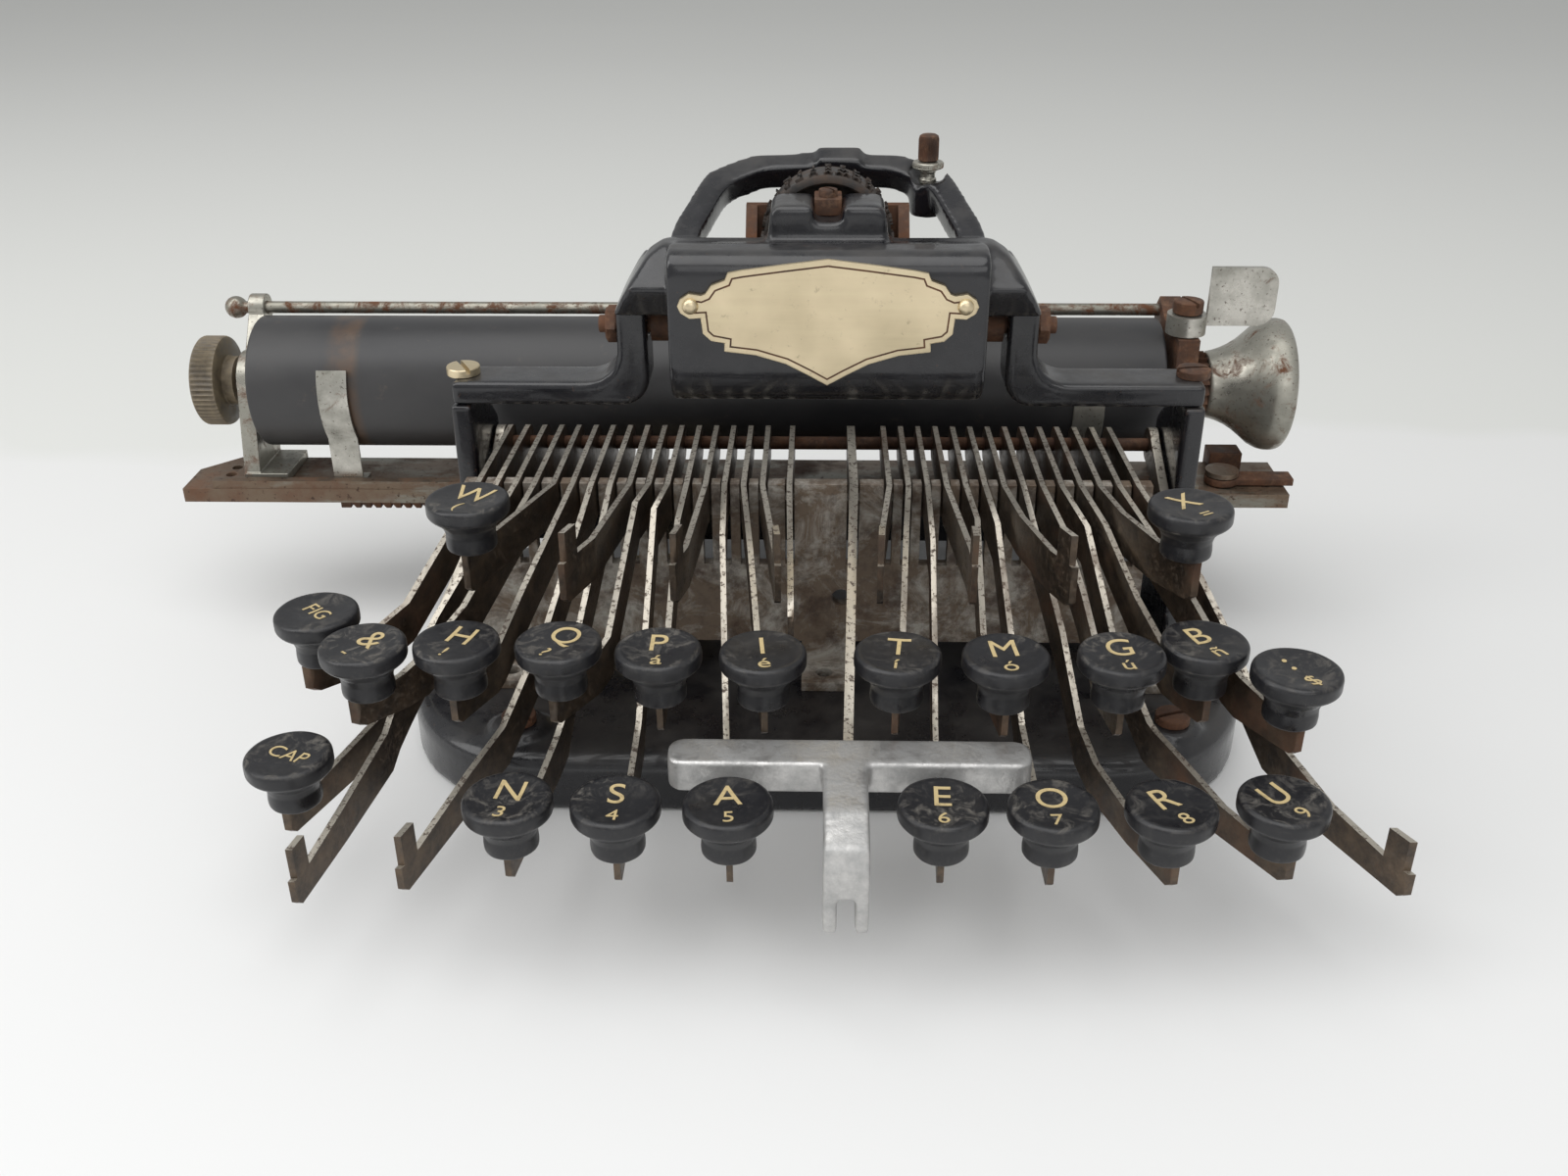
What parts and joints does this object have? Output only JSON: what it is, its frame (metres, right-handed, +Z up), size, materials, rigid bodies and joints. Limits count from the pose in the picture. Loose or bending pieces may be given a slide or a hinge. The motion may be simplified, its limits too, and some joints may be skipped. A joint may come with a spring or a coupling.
{
  "type": "typewriter",
  "caption": "Small keyboard typewriter with fanned key levers in a comb, a type wheel on a swinging frame and a sliding carriage with platen.",
  "frame": {"origin": "centre of the base's flat underside", "axes": "+X along the platen to the right, +Y to the back, +Z up"},
  "size_m": [0.2715, 0.169, 0.1216],
  "materials": {
    "japanned_iron": "glossy",
    "lever_steel": "tarnished",
    "ebonite": "satin",
    "comb_steel": "corroded",
    "nickel": "worn nickel",
    "brass": "aged",
    "bronze": "aged",
    "platen_rubber": "matte",
    "type_metal": "matte"
  },
  "bodies": {
    "base": {"base_casting": "japanned_iron", "comb_plate": "comb_steel", "lever_pivot_rod": "lever_steel", "frame_screws": "nickel", "top_frame": "japanned_iron", "guard_block": "bronze", "name_plate": "brass", "pivot_screws": "nickel", "ink_post": "nickel", "carriage_track": "japanned_iron"},
    "carriage": {"carriage_rail": "nickel", "carriage_rack": "nickel", "left_bracket": "nickel", "right_bracket": "nickel", "paper_rod": "nickel", "paper_fingers": "nickel", "bracket_screw": "nickel", "margin_stop": "nickel"},
    "platen": {"platen": "platen_rubber", "platen_shaft": "nickel", "left_knob": "ebonite", "right_knob": "nickel"},
    "universal_bar": {"universal_bar": "lever_steel"},
    "swing_frame": {"swing_frame": "nickel"},
    "type_wheel": {"type_wheel": "type_metal"},
    "space_key": {"space_key": "lever_steel"},
    "centre_lever": {"centre_lever": "lever_steel"},
    "line_space_lever": {"line_space_lever": "nickel"},
    "release_lever": {"release_lever": "nickel"},
    "spring_drum": {"spring_drum": "brass"},
    "figures_shift_key": {"figures_shift_key": "lever_steel"},
    "capitals_shift_key": {"capitals_shift_key": "lever_steel"},
    "key_1": {"key_1": "lever_steel"},
    "key_ampersand": {"key_ampersand": "lever_steel"},
    "key_w": {"key_w": "lever_steel"},
    "key_h": {"key_h": "lever_steel"},
    "key_2": {"key_2": "lever_steel"},
    "key_n": {"key_n": "lever_steel"},
    "key_blank_1": {"key_blank_1": "lever_steel"},
    "key_q": {"key_q": "lever_steel"},
    "key_s": {"key_s": "lever_steel"},
    "key_p": {"key_p": "lever_steel"},
    "key_blank_2": {"key_blank_2": "lever_steel"},
    "key_a": {"key_a": "lever_steel"},
    "key_i": {"key_i": "lever_steel"},
    "key_blank_3": {"key_blank_3": "lever_steel"},
    "key_blank_4": {"key_blank_4": "lever_steel"},
    "key_t": {"key_t": "lever_steel"},
    "key_e": {"key_e": "lever_steel"},
    "key_blank_5": {"key_blank_5": "lever_steel"},
    "key_m": {"key_m": "lever_steel"},
    "key_o": {"key_o": "lever_steel"},
    "key_blank_6": {"key_blank_6": "lever_steel"},
    "key_r": {"key_r": "lever_steel"},
    "key_g": {"key_g": "lever_steel"},
    "key_u": {"key_u": "lever_steel"},
    "key_b": {"key_b": "lever_steel"},
    "key_x": {"key_x": "lever_steel"},
    "key_colon": {"key_colon": "lever_steel"},
    "key_0": {"key_0": "lever_steel"}
  },
  "joints": [
    {"name": "figures_shift_key_press", "type": "hinge", "parent": "base", "child": "figures_shift_key", "pos_m": [0, 0.016, 0.0535], "axis": [1, 0, 0], "range_deg": [0, 3], "stiffness_Nm_per_rad": 0.05, "springref_deg": -22.92},
    {"name": "capitals_shift_key_press", "type": "hinge", "parent": "base", "child": "capitals_shift_key", "pos_m": [0, 0.016, 0.0535], "axis": [1, 0, 0], "range_deg": [0, 3], "stiffness_Nm_per_rad": 0.05, "springref_deg": -22.92},
    {"name": "key_1_press", "type": "hinge", "parent": "base", "child": "key_1", "pos_m": [0, 0.016, 0.0535], "axis": [1, 0, 0], "range_deg": [0, 3], "stiffness_Nm_per_rad": 0.05, "springref_deg": -22.92},
    {"name": "key_ampersand_press", "type": "hinge", "parent": "base", "child": "key_ampersand", "pos_m": [0, 0.016, 0.0535], "axis": [1, 0, 0], "range_deg": [0, 3], "stiffness_Nm_per_rad": 0.05, "springref_deg": -22.92},
    {"name": "key_w_press", "type": "hinge", "parent": "base", "child": "key_w", "pos_m": [0, 0.016, 0.0535], "axis": [1, 0, 0], "range_deg": [0, 3], "stiffness_Nm_per_rad": 0.05, "springref_deg": -22.92},
    {"name": "key_h_press", "type": "hinge", "parent": "base", "child": "key_h", "pos_m": [0, 0.016, 0.0535], "axis": [1, 0, 0], "range_deg": [0, 3], "stiffness_Nm_per_rad": 0.05, "springref_deg": -22.92},
    {"name": "key_2_press", "type": "hinge", "parent": "base", "child": "key_2", "pos_m": [0, 0.016, 0.0535], "axis": [1, 0, 0], "range_deg": [0, 3], "stiffness_Nm_per_rad": 0.05, "springref_deg": -22.92},
    {"name": "key_n_press", "type": "hinge", "parent": "base", "child": "key_n", "pos_m": [0, 0.016, 0.0535], "axis": [1, 0, 0], "range_deg": [0, 3], "stiffness_Nm_per_rad": 0.05, "springref_deg": -22.92},
    {"name": "key_blank_1_press", "type": "hinge", "parent": "base", "child": "key_blank_1", "pos_m": [0, 0.016, 0.0535], "axis": [1, 0, 0], "range_deg": [0, 3], "stiffness_Nm_per_rad": 0.05, "springref_deg": -22.92},
    {"name": "key_q_press", "type": "hinge", "parent": "base", "child": "key_q", "pos_m": [0, 0.016, 0.0535], "axis": [1, 0, 0], "range_deg": [0, 3], "stiffness_Nm_per_rad": 0.05, "springref_deg": -22.92},
    {"name": "key_s_press", "type": "hinge", "parent": "base", "child": "key_s", "pos_m": [0, 0.016, 0.0535], "axis": [1, 0, 0], "range_deg": [0, 3], "stiffness_Nm_per_rad": 0.05, "springref_deg": -22.92},
    {"name": "key_p_press", "type": "hinge", "parent": "base", "child": "key_p", "pos_m": [0, 0.016, 0.0535], "axis": [1, 0, 0], "range_deg": [0, 3], "stiffness_Nm_per_rad": 0.05, "springref_deg": -22.92},
    {"name": "key_blank_2_press", "type": "hinge", "parent": "base", "child": "key_blank_2", "pos_m": [0, 0.016, 0.0535], "axis": [1, 0, 0], "range_deg": [0, 3], "stiffness_Nm_per_rad": 0.05, "springref_deg": -22.92},
    {"name": "key_a_press", "type": "hinge", "parent": "base", "child": "key_a", "pos_m": [0, 0.016, 0.0535], "axis": [1, 0, 0], "range_deg": [0, 3], "stiffness_Nm_per_rad": 0.05, "springref_deg": -22.92},
    {"name": "key_i_press", "type": "hinge", "parent": "base", "child": "key_i", "pos_m": [0, 0.016, 0.0535], "axis": [1, 0, 0], "range_deg": [0, 3], "stiffness_Nm_per_rad": 0.05, "springref_deg": -22.92},
    {"name": "key_blank_3_press", "type": "hinge", "parent": "base", "child": "key_blank_3", "pos_m": [0, 0.016, 0.0535], "axis": [1, 0, 0], "range_deg": [0, 3], "stiffness_Nm_per_rad": 0.05, "springref_deg": -22.92},
    {"name": "key_blank_4_press", "type": "hinge", "parent": "base", "child": "key_blank_4", "pos_m": [0, 0.016, 0.0535], "axis": [1, 0, 0], "range_deg": [0, 3], "stiffness_Nm_per_rad": 0.05, "springref_deg": -22.92},
    {"name": "key_t_press", "type": "hinge", "parent": "base", "child": "key_t", "pos_m": [0, 0.016, 0.0535], "axis": [1, 0, 0], "range_deg": [0, 3], "stiffness_Nm_per_rad": 0.05, "springref_deg": -22.92},
    {"name": "key_e_press", "type": "hinge", "parent": "base", "child": "key_e", "pos_m": [0, 0.016, 0.0535], "axis": [1, 0, 0], "range_deg": [0, 3], "stiffness_Nm_per_rad": 0.05, "springref_deg": -22.92},
    {"name": "key_blank_5_press", "type": "hinge", "parent": "base", "child": "key_blank_5", "pos_m": [0, 0.016, 0.0535], "axis": [1, 0, 0], "range_deg": [0, 3], "stiffness_Nm_per_rad": 0.05, "springref_deg": -22.92},
    {"name": "key_m_press", "type": "hinge", "parent": "base", "child": "key_m", "pos_m": [0, 0.016, 0.0535], "axis": [1, 0, 0], "range_deg": [0, 3], "stiffness_Nm_per_rad": 0.05, "springref_deg": -22.92},
    {"name": "key_o_press", "type": "hinge", "parent": "base", "child": "key_o", "pos_m": [0, 0.016, 0.0535], "axis": [1, 0, 0], "range_deg": [0, 3], "stiffness_Nm_per_rad": 0.05, "springref_deg": -22.92},
    {"name": "key_blank_6_press", "type": "hinge", "parent": "base", "child": "key_blank_6", "pos_m": [0, 0.016, 0.0535], "axis": [1, 0, 0], "range_deg": [0, 3], "stiffness_Nm_per_rad": 0.05, "springref_deg": -22.92},
    {"name": "key_r_press", "type": "hinge", "parent": "base", "child": "key_r", "pos_m": [0, 0.016, 0.0535], "axis": [1, 0, 0], "range_deg": [0, 3], "stiffness_Nm_per_rad": 0.05, "springref_deg": -22.92},
    {"name": "key_g_press", "type": "hinge", "parent": "base", "child": "key_g", "pos_m": [0, 0.016, 0.0535], "axis": [1, 0, 0], "range_deg": [0, 3], "stiffness_Nm_per_rad": 0.05, "springref_deg": -22.92},
    {"name": "key_u_press", "type": "hinge", "parent": "base", "child": "key_u", "pos_m": [0, 0.016, 0.0535], "axis": [1, 0, 0], "range_deg": [0, 3], "stiffness_Nm_per_rad": 0.05, "springref_deg": -22.92},
    {"name": "key_b_press", "type": "hinge", "parent": "base", "child": "key_b", "pos_m": [0, 0.016, 0.0535], "axis": [1, 0, 0], "range_deg": [0, 3], "stiffness_Nm_per_rad": 0.05, "springref_deg": -22.92},
    {"name": "key_x_press", "type": "hinge", "parent": "base", "child": "key_x", "pos_m": [0, 0.016, 0.0535], "axis": [1, 0, 0], "range_deg": [0, 3], "stiffness_Nm_per_rad": 0.05, "springref_deg": -22.92},
    {"name": "key_colon_press", "type": "hinge", "parent": "base", "child": "key_colon", "pos_m": [0, 0.016, 0.0535], "axis": [1, 0, 0], "range_deg": [0, 3], "stiffness_Nm_per_rad": 0.05, "springref_deg": -22.92},
    {"name": "key_0_press", "type": "hinge", "parent": "base", "child": "key_0", "pos_m": [0, 0.016, 0.0535], "axis": [1, 0, 0], "range_deg": [0, 3], "stiffness_Nm_per_rad": 0.05, "springref_deg": -22.92},
    {"name": "space_key_press", "type": "hinge", "parent": "base", "child": "space_key", "pos_m": [0, 0.016, 0.0535], "axis": [1, 0, 0], "range_deg": [0, 1.2], "stiffness_Nm_per_rad": 0.05, "springref_deg": -45.84},
    {"name": "centre_lever_press", "type": "hinge", "parent": "base", "child": "centre_lever", "pos_m": [0, 0.016, 0.0535], "axis": [1, 0, 0], "range_deg": [0, 3], "stiffness_Nm_per_rad": 0.05, "springref_deg": -14.32},
    {"name": "universal_bar_press", "type": "hinge", "parent": "base", "child": "universal_bar", "pos_m": [0, 0.016, 0.0535], "axis": [1, 0, 0], "range_deg": [0, 3], "stiffness_Nm_per_rad": 0.05, "springref_deg": -14.32},
    {"name": "swing", "type": "hinge", "parent": "base", "child": "swing_frame", "pos_m": [0, 0.002, 0.0865], "axis": [-1, 0, 0], "range_deg": [0, 112], "stiffness_Nm_per_rad": 0.02, "springref_deg": -68.75},
    {"name": "wheel_turn", "type": "hinge", "parent": "swing_frame", "child": "type_wheel", "pos_m": [0, 0.01, 0.1035], "axis": [0, 1, 0], "continuous": true},
    {"name": "carriage_slide", "type": "slide", "parent": "base", "child": "carriage", "axis": [1, 0, 0], "range_m": [-0.064, 0.12]},
    {"name": "platen_turn", "type": "hinge", "parent": "carriage", "child": "platen", "pos_m": [0, 0.043, 0.0584], "axis": [1, 0, 0], "continuous": true},
    {"name": "line_space_push", "type": "hinge", "parent": "carriage", "child": "line_space_lever", "pos_m": [0.0845, 0.036, 0.0738], "axis": [0, 0, -1], "range_deg": [0, 35], "stiffness_Nm_per_rad": 0.01, "springref_deg": -22.92},
    {"name": "release_push", "type": "hinge", "parent": "carriage", "child": "release_lever", "pos_m": [0.097, 0.033, 0.0368], "axis": [0, 0, -1], "range_deg": [0, 20], "stiffness_Nm_per_rad": 0.01, "springref_deg": -22.92},
    {"name": "spring_drum_turn", "type": "hinge", "parent": "base", "child": "spring_drum", "pos_m": [-0.04, 0.008, 0.0128], "axis": [0, 0, 1], "range_deg": [-300, 560]}
  ],
  "couplings": [
    {"joint": "spring_drum_turn", "follows": "carriage_slide", "rad_per_m": 79.365}
  ]
}
